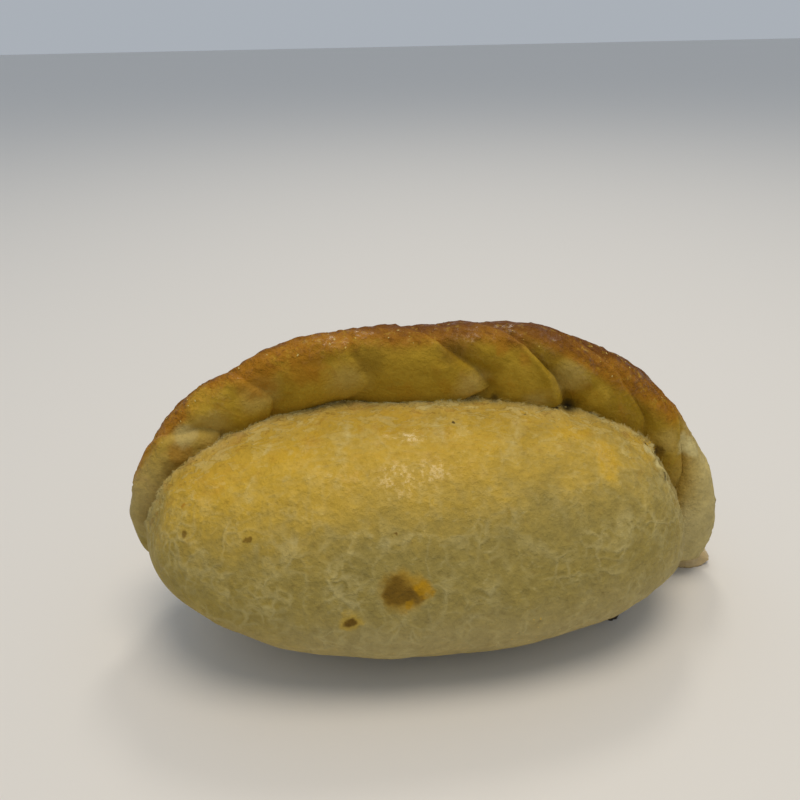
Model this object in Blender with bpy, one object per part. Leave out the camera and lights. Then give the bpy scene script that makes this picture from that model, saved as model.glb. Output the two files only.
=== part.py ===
"""A saltena: a baked dough pouch lying on its belly, shut by a thick folded seam that arches over it.
Run with: blender --background --python part.py

The origin is the middle of the footprint, on the surface it rests on. X runs along the seam from the
pinched tip to the tail that comes down to the surface, -Y is the browned front, Z is up.
"""

import math

import bmesh
import bpy
import numpy as np

MM = 0.001

# The pouch, in mm. Its widest section is at POUCH_X, POUCH_Y, and both ends taper to a tip.
POUCH_X = -3.4
POUCH_Y = 1.5
HALF_LENGTH = (56.5, 53.3)  # left, right
TIP_HEIGHT = (22.1, 19.1)  # left, right
CROWN_HEIGHT = 47.4
BELLY_DEPTH = (31.8, 28.5)  # front, back
WIDEST_SHARE = 0.38  # how far up its own height the section is widest
SUNK = 1.2  # how far the round belly would reach below the surface if it hadn't settled flat
# Superellipse exponents: 2 is an ellipse, more is fuller. Left, right.
ROUND_TOP = (2.6, 2.25)
ROUND_UNDER = (1.65, 1.94)
ROUND_PLAN = (2.56, 2.57)
ROUND_SECTION = (2.16, 2.15)  # under and over the widest line

# The seam: x, y, z of its middle, its radius, and how much further it runs into the pouch.
SEAM = (
    (-60.2, 1.5, 14.3, 1.2, 2.0),
    (-61.6, 1.5, 23.4, 1.6, 2.0),
    (-59.4, 1.7, 28.3, 3.7, 3.0),
    (-54.1, 2.4, 37.2, 5.2, 4.0),
    (-45.0, 3.3, 47.6, 4.8, 5.0),
    (-26.3, 4.3, 55.7, 5.2, 5.0),
    (-4.1, 4.7, 55.2, 6.5, 5.0),
    (18.4, 4.7, 52.8, 7.5, 5.0),
    (39.2, 4.3, 42.8, 6.3, 5.0),
    (52.1, 3.3, 25.4, 6.2, 7.0),
    (55.1, 3.3, 13.0, 6.2, 8.0),
    (54.4, 3.3, 2.2, 4.7, 8.0),
)
SEAM_FULLNESS = 1.05  # its depth from front to back over its height
END_ROUNDING = 5.0

# Where one fold of the seam tucks under the next: mm along the seam on its top, how many mm further
# along for each radian down its front, and how deep on top and on the sides.
CREASES = (
    (28.0, 5.2, 0.3, 2.0),
    (46.3, 2.4, 0.9, 2.0),
    (65.0, 3.2, 0.4, 1.6),
    (78.6, 8.4, 0.6, 2.2),
    (93.2, 9.6, 0.6, 2.2),
    (110.8, 12.6, 0.9, 1.2),
    (129.0, 11.4, 0.4, 1.8),
)
BACK_SLANT = 6.0  # mm back along the seam for each radian down its back
FULL_DEPTH_FROM = 1.66  # radians down from the seam's top, where a crease has reached its side depth
HIDDEN_FROM = 2.0  # radians down from the seam's top, where it has run into the pouch
LIP = 1.0  # the raised edge of a fold drops off within about this length
TUCK = 5.5  # and the next fold comes up from under it over this one

# Baked-on bits at the base: x, y, z of the middle and the three half sizes.
LEAK = ((57.8, 5.8, 0.6), (5.0, 3.2, 2.8))
BURNT_BIT = ((33.8, -9.2, 2.2), (3.2, 4.2, 5.2))
RIM_WAVE, RIM_WAVES = 0.16, 3  # how far their rims wave in and out, and how often

# Mesh fineness.
POUCH_RINGS, POUCH_SPOKES = 60, 50
SEAM_SPOKES = 30
RING_PITCH = 1.6
LINE_STEPS = 1200
BIT_RINGS, BIT_SPOKES = 6, 12
SHARP_EDGE = math.radians(40)

CRUST_COLOUR = (0.50, 0.30, 0.07, 1.0)
CRUST_ROUGHNESS = 0.45


def clear_scene():
    for old in list(bpy.data.objects):
        bpy.data.objects.remove(old, do_unlink=True)


def falloff(t, exponent):
    """A superellipse's height at t: 1 in the middle, 0 where |t| is 1."""
    return np.clip(1 - np.abs(t) ** exponent, 0, 1) ** (1 / exponent)


def smooth_step(low, high, value):
    t = np.clip((value - low) / (high - low), 0, 1)
    return t * t * (3 - 2 * t)


def spoke_angles(count):
    """Angles of a ring's points, from 0 up to pi and then on from -pi."""
    angles = 2 * np.pi * np.arange(count) / count
    return np.where(angles > np.pi, angles - 2 * np.pi, angles)


def closed_form(name, points):
    """A closed mesh from points[ring, spoke]: a UV sphere, its first and last rings drawn to a point."""
    rings, spokes = points.shape[0] - 1, points.shape[1]
    mesh = bpy.data.meshes.new(name)
    shape = bmesh.new()
    bmesh.ops.create_uvsphere(shape, u_segments=spokes, v_segments=rings, radius=1)
    for vertex in shape.verts:
        ring = round(math.acos(max(-1.0, min(1.0, vertex.co.z))) * rings / math.pi)
        spoke = round(math.atan2(vertex.co.y, vertex.co.x) * spokes / (2 * math.pi)) % spokes
        vertex.co = points[ring, spoke] * MM
    shape.normal_update()
    bmesh.ops.recalc_face_normals(shape, faces=shape.faces)
    shape.to_mesh(mesh)
    shape.free()
    return bpy.data.objects.new(name, mesh)


def pouch():
    """The filled body: superellipse sections along X, fuller below, between two tips."""
    t = -np.cos(np.linspace(0, np.pi, POUCH_RINGS + 1))[:, None]
    spoke = spoke_angles(POUCH_SPOKES)[None, :]
    right = (t > 0).astype(int)

    def by_side(pair):
        return np.array(pair)[right]

    tip = by_side(TIP_HEIGHT)
    top = tip + (CROWN_HEIGHT - tip) * falloff(t, by_side(ROUND_TOP))
    under = tip - (tip + SUNK) * falloff(t, by_side(ROUND_UNDER))
    widest = under + (top - under) * WIDEST_SHARE
    width = falloff(t, by_side(ROUND_PLAN))
    across, up = np.cos(spoke), np.sin(spoke)
    exponent = np.where(up > 0, ROUND_SECTION[1], ROUND_SECTION[0])
    height = np.where(up > 0, top - widest, widest - under)
    depth = np.where(across < 0, BELLY_DEPTH[0], BELLY_DEPTH[1])
    x = POUCH_X + by_side(HALF_LENGTH) * t
    y = POUCH_Y + depth * width * np.sign(across) * np.abs(across) ** (2 / exponent)
    z = widest + height * np.sign(up) * np.abs(up) ** (2 / exponent)
    return closed_form("pouch", np.stack(np.broadcast_arrays(x, y, z), axis=-1))


def seam_rows(share):
    """The rows of SEAM at shares from 0 to 1, as a Catmull-Rom curve."""
    rows = np.array(SEAM)
    rows = np.vstack([2 * rows[0] - rows[1], rows, 2 * rows[-1] - rows[-2]])
    at = share * (len(SEAM) - 1)
    first = np.clip(at.astype(int), 0, len(SEAM) - 2)
    t = (at - first)[:, None]
    a, b, c, d = (rows[first + step] for step in range(4))
    bend = 2 * a - 5 * b + 4 * c - d
    twist = 3 * b - 3 * c + d - a
    return 0.5 * (2 * b + (c - a) * t + bend * t**2 + twist * t**3)


def seam_line():
    """Lengths along the seam, and for each its row of SEAM and its outward direction."""
    rows = seam_rows(np.linspace(0, 1, LINE_STEPS + 1))
    middle = rows[:, :3]
    outward = np.cross(np.gradient(middle, axis=0), (0, 1, 0))
    outward /= np.linalg.norm(outward, axis=1)[:, None]
    steps = np.linalg.norm(np.diff(middle, axis=0), axis=1)
    return np.concatenate([[0], np.cumsum(steps)]), np.hstack([rows, outward])


def ring_places(total):
    """Where the seam's rings cross its top: evenly along each fold, and on both sides of a crease."""
    creases = [at for at, *_ in CREASES]
    places = [np.array([0.0])]
    for start, end in zip([0.0, *creases], [*creases, total]):
        places.append(np.linspace(start, end, round((end - start) / RING_PITCH) + 1)[1:])
    for at in creases:
        places.append(np.array([at - 0.5 * LIP, at + 0.5 * LIP]))
    return np.unique(np.concatenate(places))


def crease_depth(at, angle):
    """How far the folds sink the seam, at its rings' places and angles down from its top."""
    down_side = smooth_step(0, FULL_DEPTH_FROM, np.abs(angle))
    deepest = np.zeros(np.broadcast(at, angle).shape)
    for crease, _, on_top, on_side in CREASES:
        past = at - crease
        depth = on_top + (on_side - on_top) * down_side
        deepest = np.maximum(deepest, depth * np.exp(np.where(past < 0, past / LIP, -past / TUCK)))
    return deepest


def folded_seam():
    """A thick tube along the seam, whose rings slant as its folds do."""
    length, line = seam_line()
    total = length[-1]
    at = ring_places(total)[:, None]
    angle = spoke_angles(SEAM_SPOKES)[None, :]
    slants = [0.0, *(slant for _, slant, *_ in CREASES), 0.0]
    slant = np.interp(at, [0.0, *(crease for crease, *_ in CREASES), total], slants)
    back_slant = BACK_SLANT * smooth_step(0, CREASES[0][0], np.minimum(at, total - at))
    down = np.interp(np.abs(angle), [0, HIDDEN_FROM, np.pi], [0, HIDDEN_FROM, 0])
    along = at + np.where(angle > 0, slant, -back_slant) * down
    x, y, z, radius, flange, *outward = (np.interp(along, length, column) for column in line.T)
    to_end = np.minimum(along, total - along)
    rounding = np.sqrt(1 - (1 - np.clip(to_end / END_ROUNDING, 0, 1)) ** 2)
    radius = (radius - crease_depth(at, angle)) * rounding
    inward = radius + flange * rounding
    height = np.where(np.cos(angle) > 0, radius, inward) * np.cos(angle)
    front = radius * SEAM_FULLNESS * np.sin(angle)
    points = np.stack([x, y, z], axis=-1) + height[..., None] * np.stack(outward, axis=-1)
    return closed_form("folded_seam", points + front[..., None] * np.array((0, -1, 0)))


def baked_bit(name, middle, half_sizes):
    """A small uneven lump: a squashed ball with a wavy rim."""
    turn = np.linspace(0, np.pi, BIT_RINGS + 1)[:, None]
    angle = spoke_angles(BIT_SPOKES)[None, :]
    wave = 1 + RIM_WAVE * np.sin(RIM_WAVES * angle) * np.sin(turn)
    x = np.sin(turn) * np.cos(angle) * wave
    y = np.sin(turn) * np.sin(angle) * wave
    ball = np.stack(np.broadcast_arrays(x, y, np.cos(turn)), axis=-1)
    return closed_form(name, np.array(middle) + ball * np.array(half_sizes))


def joined(base, others):
    """One closed mesh out of overlapping ones."""
    group = bpy.data.collections.new("joined_to_" + base.name)
    for other in others:
        group.objects.link(other)
    bpy.context.scene.collection.children.link(group)
    bpy.context.scene.collection.objects.link(base)
    union = base.modifiers.new("join", "BOOLEAN")
    union.operation = "UNION"
    union.operand_type = "COLLECTION"
    union.collection = group
    union.solver = "EXACT"
    evaluated = base.evaluated_get(bpy.context.evaluated_depsgraph_get())
    mesh = bpy.data.meshes.new_from_object(evaluated)
    for used in [base, *others]:
        bpy.data.objects.remove(used, do_unlink=True)
    bpy.data.collections.remove(group)
    return mesh


def settle_flat(mesh):
    """Cuts off what is below the surface that the belly has settled on, and closes the cut."""
    shape = bmesh.new()
    shape.from_mesh(mesh)
    everything = shape.verts[:] + shape.edges[:] + shape.faces[:]
    bmesh.ops.bisect_plane(
        shape, geom=everything, dist=1e-7, plane_co=(0, 0, 0), plane_no=(0, 0, 1), clear_inner=True
    )
    rim = [edge for edge in shape.edges if edge.is_boundary]
    bmesh.ops.holes_fill(shape, edges=rim, sides=0)
    bmesh.ops.triangulate(shape, faces=shape.faces)
    shape.normal_update()
    bmesh.ops.recalc_face_normals(shape, faces=shape.faces)
    shape.to_mesh(mesh)
    shape.free()


def crust_material():
    material = bpy.data.materials.new("baked_crust")
    material.use_nodes = True
    shader = material.node_tree.nodes["Principled BSDF"]
    shader.inputs["Base Color"].default_value = CRUST_COLOUR
    shader.inputs["Roughness"].default_value = CRUST_ROUGHNESS
    shader.inputs["Metallic"].default_value = 0.0
    return material


def saltena():
    bits = [baked_bit("leak", *LEAK), baked_bit("burnt_bit", *BURNT_BIT)]
    mesh = joined(pouch(), [folded_seam(), *bits])
    settle_flat(mesh)
    mesh.name = "saltena"
    mesh.materials.clear()
    mesh.materials.append(crust_material())
    mesh.shade_smooth()
    mesh.set_sharp_from_angle(angle=SHARP_EDGE)
    whole = bpy.data.objects.new("saltena", mesh)
    bpy.context.scene.collection.objects.link(whole)


clear_scene()
saltena()
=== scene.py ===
"""A baked saltena on a plain pale floor: a plump belly of egg-washed dough, shut by a thick folded seam.

The solid model is loaded first, as a fixed frame. Every piece is made in its place, in metres.
X runs along the seam from the pinched tip to the tail, -Y is the browned front, Z is up.
"""

import math

import bpy
from bpy.props import FloatProperty, FloatVectorProperty, IntProperty
from mathutils import Euler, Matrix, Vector


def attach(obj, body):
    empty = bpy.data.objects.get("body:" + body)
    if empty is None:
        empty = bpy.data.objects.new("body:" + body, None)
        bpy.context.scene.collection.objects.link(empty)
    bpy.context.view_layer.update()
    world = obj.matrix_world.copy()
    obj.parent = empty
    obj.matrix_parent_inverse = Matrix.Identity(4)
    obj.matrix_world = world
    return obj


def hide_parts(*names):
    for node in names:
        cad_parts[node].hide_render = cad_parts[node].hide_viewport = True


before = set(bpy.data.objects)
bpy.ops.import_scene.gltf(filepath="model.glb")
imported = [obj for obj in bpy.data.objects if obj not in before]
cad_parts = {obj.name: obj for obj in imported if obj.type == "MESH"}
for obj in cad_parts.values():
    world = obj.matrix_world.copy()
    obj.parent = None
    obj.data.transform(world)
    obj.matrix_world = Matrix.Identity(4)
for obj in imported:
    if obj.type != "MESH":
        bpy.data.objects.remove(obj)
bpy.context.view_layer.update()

bl_info = {
    "name": "Saltena",
    "version": (1, 0, 0),
    "blender": (4, 5, 0),
    "location": "3D View > Sidebar > Saltena",
    "description": "Builds a baked saltena with a folded seam, its baked-on bits and a plain stage",
    "category": "Add Mesh",
}

NODE = "saltena"
BODY = "root"
MM = 0.001
SIDES = ("left", "right")

# The seam: x, y, z of its middle, its radius, and how much further it runs into the pouch, in mm.
SEAM = (
    (-60.2, 1.5, 14.3, 1.2, 2.0),
    (-61.6, 1.5, 23.4, 1.6, 2.0),
    (-59.4, 1.7, 28.3, 3.7, 3.0),
    (-54.1, 2.4, 37.2, 5.2, 4.0),
    (-45.0, 3.3, 47.6, 4.8, 5.0),
    (-26.3, 4.3, 55.7, 5.2, 5.0),
    (-4.1, 4.7, 55.2, 6.5, 5.0),
    (18.4, 4.7, 52.8, 7.5, 5.0),
    (39.2, 4.3, 42.8, 6.3, 5.0),
    (52.1, 3.3, 25.4, 6.2, 7.0),
    (55.1, 3.3, 13.0, 6.2, 8.0),
    (54.4, 3.3, 2.2, 4.7, 8.0),
)
# Where one fold tucks under the next: mm along the seam on its top, how many mm further along for each
# radian down its front, how deep in mm on top and on the sides, within how many mm the first fold's lip
# drops off and the next fold comes up, and how sharp the lip is, from 0 to 1.
CREASES = (
    (28.0, 5.2, 0.3, 1.7, 0.6, 5.0, 0.9),
    (46.3, 2.4, 0.8, 2.4, 1.0, 5.5, 0.60),
    (65.0, 3.2, 0.4, 2.1, 1.8, 5.5, 0.30),
    (78.6, 8.4, 0.6, 2.5, 0.5, 6.5, 0.75),
    (93.2, 9.6, 0.6, 2.9, 0.5, 7.0, 1.1),
    (110.8, 12.6, 0.8, 1.8, 1.8, 5.5, 0.35),
    (129.0, 11.4, 0.4, 2.0, 0.8, 5.5, 0.6),
)
# Radians down from the seam's top, where it has run into the pouch, where a crease has reached its depth
# on the sides, and between which a fold's lip goes over into its softer foot.
HIDDEN_FROM = 2.0
FULL_DEPTH_FROM = 1.66
LIP_SOFTENS = (0.75, 1.35)
# Half widths of a fold's raised rim and of the painted shade under it, in metres.
RIM_WIDTH = 0.0014
SHADE_WIDTH = 0.0034

# The flaky skin: how big a torn patch is, in metres, at which values of its noise a layer ends, and within
# how much more it reaches its height.
FLAKY_SIZE = 0.0038
LAYER_EDGES = (-0.45, 0.05, 0.5)
TORN_WIDTH = 0.10

# Places where the belly stands out or sinks in: middle, radius and push, in mm.
BELLY_PUSHES = (
    ((46.0, -6.0, 38.0), 12.0, (-1.2, 0.4, -0.5)),
    ((50.0, -5.5, 30.5), 11.0, (-2.8, 1.2, -0.4)),
    ((-52.0, -7.0, 12.0), 11.0, (-2.4, -0.8, 0.0)),
    ((-56.0, -6.5, 30.0), 9.0, (1.9, 1.2, -0.2)),
    ((44.0, -14.0, 12.0), 14.0, (0.8, -0.8, 0.0)),
    ((-38.5, -22.0, 20.0), 9.0, (0.4, 0.5, 0.0)),
    ((-30.0, -14.0, 42.0), 8.0, (0.0, -0.3, 0.5)),
    ((14.0, -14.0, 43.0), 9.0, (0.0, 0.3, -0.5)),
)
# Small deep holes where the seam leaves the belly: middle, radius and push, in mm, and how dark the painted
# shade on its floor is, 0 to 1.
# PIT_FLOOR is the share of its push after which a pit's floor is painted.
PITS = (
    ((25.2, -0.8, 45.4), 2.9, (0.0, 1.8, -0.9), 0.95),
    ((9.8, -1.0, 48.3), 1.7, (0.0, 1.0, -0.5), 0.70),
    ((-50.6, -2.6, 38.9), 1.8, (0.5, 0.8, -0.3), 0.50),
    ((44.4, -1.9, 34.0), 1.7, (-0.3, 1.0, -0.5), 0.40),
)
PIT_FLOOR = 0.8
# Fine lines on the belly: both ends, half width and height, in mm. A height below 0 is a groove.
BELLY_LINES = (
    ((-33.8, -5.1, 44.8), (-38.3, -16.6, 39.3), 0.9, 0.20),
    ((-30.4, -9.0, 44.5), (-30.9, -21.1, 37.4), 0.8, 0.14),
    ((-2.2, -5.0, 47.4), (-3.0, -11.5, 45.6), 1.6, 0.16),
    ((13.0, -6.5, 46.0), (9.5, -14.5, 42.3), 1.8, 0.12),
    ((-20.0, -6.0, 47.0), (-22.0, -17.0, 41.5), 1.3, 0.12),
    ((4.0, -16.0, 42.0), (2.0, -24.0, 35.0), 1.3, 0.10),
    ((41.5, -2.4, 37.2), (42.6, -9.3, 33.0), 1.5, 0.70),
    ((42.6, -9.3, 33.0), (45.5, -13.0, 22.0), 1.8, 0.25),
    ((-57.6, -5.5, 25.0), (-53.0, -11.5, 13.0), 0.9, 0.30),
    ((-59.0, -3.0, 24.0), (-55.0, -7.5, 12.0), 0.9, 0.30),
    ((-58.2, -4.2, 24.5), (-54.0, -9.6, 12.5), 0.7, -0.25),
)


# ---------------------------------------------------------------- settings


def number(name, description, default, **more):
    return FloatProperty(name=name, description=description, default=default, **more)


def distance(name, description, default):
    return number(name, description, default, unit="LENGTH")


def share(name, description, default):
    return number(name, description, default, min=0, max=1, subtype="FACTOR")


def count(name, description, default, fewest, most):
    return IntProperty(name=name, description=description, default=default, min=fewest, max=most)


def both_ends(name, description, default, **more):
    """A pair of values, for the left and the right end."""
    return FloatVectorProperty(name=name, description=description, default=default, size=2, **more)


def lengths(name, description, default):
    return both_ends(name, description, default, unit="LENGTH")


def colour(name, description, default):
    return FloatVectorProperty(
        name=name, description=description, default=default, size=3, subtype="COLOR", min=0, max=1
    )


class PouchSizes(bpy.types.PropertyGroup):
    """The belly: superellipse sections between two tips. 2 is an ellipse, and more is fuller."""

    middle: distance("Middle", "Place of the widest section along the seam", -0.0034)
    middle_depth: distance("Middle depth", "Place of the widest section from front to back", 0.0015)
    half_length: lengths("Half length", "From the widest section to each tip", (0.0565, 0.0533))
    tip_height: lengths("Tip height", "Height of each tip", (0.0221, 0.0191))
    crown_height: distance("Crown height", "Height of the belly under the seam", 0.0474)
    front_depth: distance("Front depth", "From the middle to the front", 0.0318)
    back_depth: distance("Back depth", "From the middle to the back", 0.0285)
    widest_share: share("Widest at", "How far up its own height a section is widest", 0.38)
    sunk: distance("Sunk", "How far the belly has settled onto the surface", 0.0012)
    round_top: both_ends("Top roundness", "Fullness of the top line", (2.6, 2.25))
    round_under: both_ends("Underside roundness", "Fullness of the underside", (1.65, 1.94))
    round_plan: both_ends("Plan roundness", "Fullness seen from above", (2.56, 2.57))
    round_low: number("Low roundness", "Fullness under the widest line", 2.16)
    round_high: number("High roundness", "Fullness over the widest line", 2.15)
    rings: count("Rings", "Rings along the belly", 290, 40, 400)
    spokes: count("Spokes", "Points of a ring", 240, 40, 400)


class SeamSizes(bpy.types.PropertyGroup):
    """The folded seam on top."""

    fullness: number("Fullness", "Depth from front to back over height", 1.05)
    end_rounding: distance("End rounding", "Length over which each end is rounded", 0.005)
    back_slant: distance("Back slant", "Back along the seam for each radian down the back", 0.006)
    seam_rings: count("Rings", "Rings along the seam", 400, 60, 500)
    seam_spokes: count("Spokes", "Points of a ring", 76, 12, 120)


class CrustRelief(bpy.types.PropertyGroup):
    """The unevenness of the dough."""

    lump_size: distance("Lump size", "Size of the swellings over the filling", 0.017)
    lump_height: distance("Lump height", "Height of the swellings over the filling", 0.00065)
    wrinkle_size: distance("Wrinkle size", "Size of the skin's wrinkles", 0.0034)
    wrinkle_height: distance("Wrinkle height", "Height of the skin's wrinkles", 0.00013)
    edge_height: distance("Edge height", "How far the belly's torn edge stands up against the seam", 0.0009)
    edge_width: distance("Edge width", "Width of the belly's torn edge", 0.0016)
    ridge_height: distance("Ridge height", "Height of the twisted ridges on the seam", 0.00009)
    flake_height: distance("Flake height", "Height of a layer of flaky skin", 0.00016)
    rim_height: distance("Rim height", "Height of a fold's rim before the next fold", 0.0005)
    waver: distance("Waver", "How far a fold's edge wavers along the seam", 0.0006)


class CrustLook(bpy.types.PropertyGroup):
    """Colours and gloss of the baked dough."""

    pale: colour("Pale dough", "Dough that the heat hardly browned", (0.42, 0.328, 0.125))
    khaki: colour("Khaki", "The dull skin in the middle of the belly", (0.325, 0.248, 0.064))
    golden: colour("Golden", "The egg wash where it is lightly baked", (0.55, 0.352, 0.034))
    amber: colour("Amber", "The egg wash where it is well baked", (0.36, 0.155, 0.007))
    russet: colour("Russet", "The darkest browned ridges", (0.135, 0.046, 0.004))
    olive: colour("Shaded dough", "The undersides of the folds", (0.255, 0.148, 0.002))
    # Soot is also painted as shade on the pit floors and in a broken line along the gap under the seam.
    soot: colour("Burnt", "Pits, gaps and burnt bits", (0.020, 0.012, 0.006))
    cream: colour("Bare dough", "Torn dough and dry cracks", (0.62, 0.53, 0.24))
    # This colour is also painted as shade: under each fold's lip, near the gap under the seam, in grooves
    # and in the first fold's hollow.
    stain: colour("Stain", "Dried juice and small blisters", (0.15, 0.078, 0.006))
    juice: colour("Juice", "The yellow edge of dried juice", (0.46, 0.24, 0.003))
    gloss: share("Gloss", "Weight of the egg wash's coat where it is thick", 0.60)


class StageLook(bpy.types.PropertyGroup):
    """The floor and the light."""

    floor: colour("Floor", "Colour of the pale floor", (0.72, 0.705, 0.68))
    room: number("Room light", "Strength of the light from all round", 0.48)
    overhead: number("Overhead light", "Power of the broad light", 2.7, unit="POWER")


# ---------------------------------------------------------------- nodes

NOISE_GAIN = 3.2  # brings a noise texture's usual range to about -1 to 1
SWING_GAIN = 3.0  # the same for its three colours


class Value:
    """A node's output that Python arithmetic works on, by adding Math nodes."""

    def __init__(self, graph, socket):
        self.graph = graph
        self.socket = socket

    def __add__(self, other):
        return self.graph.math("ADD", self, other)

    def __radd__(self, other):
        return self.graph.math("ADD", other, self)

    def __sub__(self, other):
        return self.graph.math("SUBTRACT", self, other)

    def __rsub__(self, other):
        return self.graph.math("SUBTRACT", other, self)

    def __mul__(self, other):
        return self.graph.math("MULTIPLY", self, other)

    def __rmul__(self, other):
        return self.graph.math("MULTIPLY", other, self)

    def __truediv__(self, other):
        return self.graph.math("DIVIDE", self, other)

    def __rtruediv__(self, other):
        return self.graph.math("DIVIDE", other, self)

    def __pow__(self, other):
        return self.graph.math("POWER", self, other)

    def __neg__(self):
        return self.graph.math("MULTIPLY", self, -1)

    def __abs__(self):
        return self.graph.math("ABSOLUTE", self)

    def __lt__(self, other):
        return self.graph.math("LESS_THAN", self, other)

    def __gt__(self, other):
        return self.graph.math("GREATER_THAN", self, other)


class Graph:
    """Adds nodes to one shader or geometry tree."""

    def __init__(self, tree):
        self.tree = tree
        tree.nodes.clear()

    def node(self, kind, settings=None, values=None):
        """A node of a kind: first its settings, then the values or links of its sockets."""
        node = self.tree.nodes.new(kind)
        for name, value in (settings or {}).items():
            setattr(node, name, value)
        for key, value in (values or {}).items():
            for each in value if isinstance(value, list) else [value]:
                if isinstance(each, Value):
                    self.tree.links.new(each.socket, node.inputs[key])
                else:
                    node.inputs[key].default_value = each
        return node

    def add(self, kind, settings=None, values=None, output=0):
        """The same, and one output of it as a Value."""
        return Value(self, self.node(kind, settings, values).outputs[output])

    def math(self, operation, *values):
        return self.add("ShaderNodeMath", {"operation": operation}, dict(enumerate(values)))

    def vector(self, operation, *values, output=0):
        return self.add("ShaderNodeVectorMath", {"operation": operation}, dict(enumerate(values)), output)

    def scaled(self, vector, number):
        return self.add("ShaderNodeVectorMath", {"operation": "SCALE"}, {0: vector, "Scale": number})

    def apart(self, vector):
        """The x, y and z of a vector."""
        node = self.node("ShaderNodeSeparateXYZ", None, {0: vector})
        return [Value(self, output) for output in node.outputs]

    def together(self, x, y, z):
        return self.add("ShaderNodeCombineXYZ", None, {0: x, 1: y, 2: z})

    def ramp(self, value, low, high, kind="LINEAR"):
        """0 at low and 1 at high, straight between them."""
        return self.add(
            "ShaderNodeMapRange", {"interpolation_type": kind}, {0: value, 1: low, 2: high, 3: 0.0, 4: 1.0}
        )

    def ease(self, value, low, high):
        """0 at low and 1 at high, with a smooth start and end."""
        return self.ramp(value, low, high, "SMOOTHSTEP")

    def noise(self, vector, size, detail, roughness, seed, bend=0.0):
        """Soft noise from about -1 to 1, with features of a size in metres."""
        values = {"Vector": vector, "W": seed, "Scale": 1 / size, "Detail": detail}
        values.update({"Roughness": roughness, "Distortion": bend})
        factor = self.add("ShaderNodeTexNoise", {"noise_dimensions": "4D"}, values)
        return (factor - 0.5) * NOISE_GAIN

    def cell_rims(self, vector, size, width):
        """1 on the rims of a pattern of cells, and 0 beyond a width, which is a share of a cell's size."""
        values = {"Vector": vector, "Scale": 1 / size, "Randomness": 1.0}
        away = self.add("ShaderNodeTexVoronoi", {"feature": "DISTANCE_TO_EDGE"}, values)
        return 1 - self.ease(away, 0.0, width)

    def blend(self, first, second, factor):
        """One colour going over into another."""
        settings = {"data_type": "RGBA", "clamp_factor": True}
        return self.add("ShaderNodeMix", settings, {0: factor, 6: first, 7: second}, 2)

    def clamped(self, value):
        return self.math("MINIMUM", self.math("MAXIMUM", value, 0), 1)

    def near(self, place, centre, inside, outside):
        """1 within a distance of a point and 0 beyond a larger one, all in metres."""
        return 1 - self.ease(self.vector("DISTANCE", place, centre, output=1), inside, outside)

    def shaken(self, place, size, reach):
        """A place softly moved about: how far apart the swings are, and how far they go, in metres."""
        values = {"Vector": place, "Scale": 1 / size, "Detail": 2.0, "Roughness": 0.5}
        swing = self.add("ShaderNodeTexNoise", {"noise_dimensions": "3D"}, values, 1)
        swing = self.scaled(self.vector("SUBTRACT", swing, (0.5, 0.5, 0.5)), SWING_GAIN)
        return self.vector("ADD", place, self.scaled(swing, reach))

    def along_line(self, place, start, end, half_width):
        """1 on a straight line between two points, and 0 beyond a half width of it."""
        line = tuple(b - a for a, b in zip(start, end))
        squared = sum(side * side for side in line)
        from_start = self.vector("SUBTRACT", place, start)
        part = self.clamped(self.vector("DOT_PRODUCT", from_start, line, output=1) / squared)
        foot = self.scaled(line, part)
        return 1 - self.ease(self.vector("DISTANCE", from_start, foot, output=1), 0.0, half_width)

    def place(self):
        """Where on the piece it is, in metres."""
        if self.tree.type == "SHADER":
            return self.add("ShaderNodeTexCoord", None, None, "Object")
        return self.add("GeometryNodeInputPosition")

    def away_from(self, geometry, place):
        """The distance to the nearest face."""
        values = {0: geometry, "Source Position": place}
        return self.add("GeometryNodeProximity", {"target_element": "FACES"}, values, "Distance")

    def largest(self, values):
        most = values[0]
        for value in values[1:]:
            most = self.math("MAXIMUM", most, value)
        return most

    def named(self, name):
        """A number that the mesh carries."""
        if self.tree.type == "SHADER":
            return self.add("ShaderNodeAttribute", {"attribute_name": name}, None, 2)
        return self.add("GeometryNodeInputNamedAttribute", {"data_type": "FLOAT"}, {"Name": name})

    def stored(self, geometry, **numbers):
        """The geometry, with numbers that its points carry by name."""
        settings = {"data_type": "FLOAT", "domain": "POINT"}
        for name, value in numbers.items():
            values = {"Geometry": geometry, "Name": name, "Value": value}
            geometry = self.add("GeometryNodeStoreNamedAttribute", settings, values)
        return geometry

    def offered(self, numbers):
        """An input for each number, and the settings of a modifier that give it that number."""
        incoming = self.tree.nodes.new("NodeGroupInput")
        settings = {}
        for name, number in numbers.items():
            kind = "NodeSocketInt" if isinstance(number, int) else "NodeSocketFloat"
            socket = self.tree.interface.new_socket(name=name, in_out="INPUT", socket_type=kind)
            settings[socket.identifier] = number
        return {name: Value(self, incoming.outputs[name]) for name in numbers}, settings


def metres(point):
    """A point of one of the lists in mm."""
    return tuple(value * MM for value in point)


def numbers_of(*groups):
    """The numbers of property groups by name, one for each end where there are two."""
    numbers = {}
    for group in groups:
        for item in group.bl_rna.properties:
            if item.identifier in {"rna_type", "name"}:
                continue
            value = getattr(group, item.identifier)
            if item.is_array:
                numbers.update({f"{item.identifier}_{side}": each for side, each in zip(SIDES, value)})
            else:
                numbers[item.identifier] = value
    return numbers


def growing_tree(name):
    """An empty geometry tree with one geometry in and one out."""
    tree = bpy.data.node_groups.new(name, "GeometryNodeTree")
    graph = Graph(tree)
    tree.interface.new_socket(name="Start", in_out="INPUT", socket_type="NodeSocketGeometry")
    tree.interface.new_socket(name="Geometry", in_out="OUTPUT", socket_type="NodeSocketGeometry")
    return graph


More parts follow.
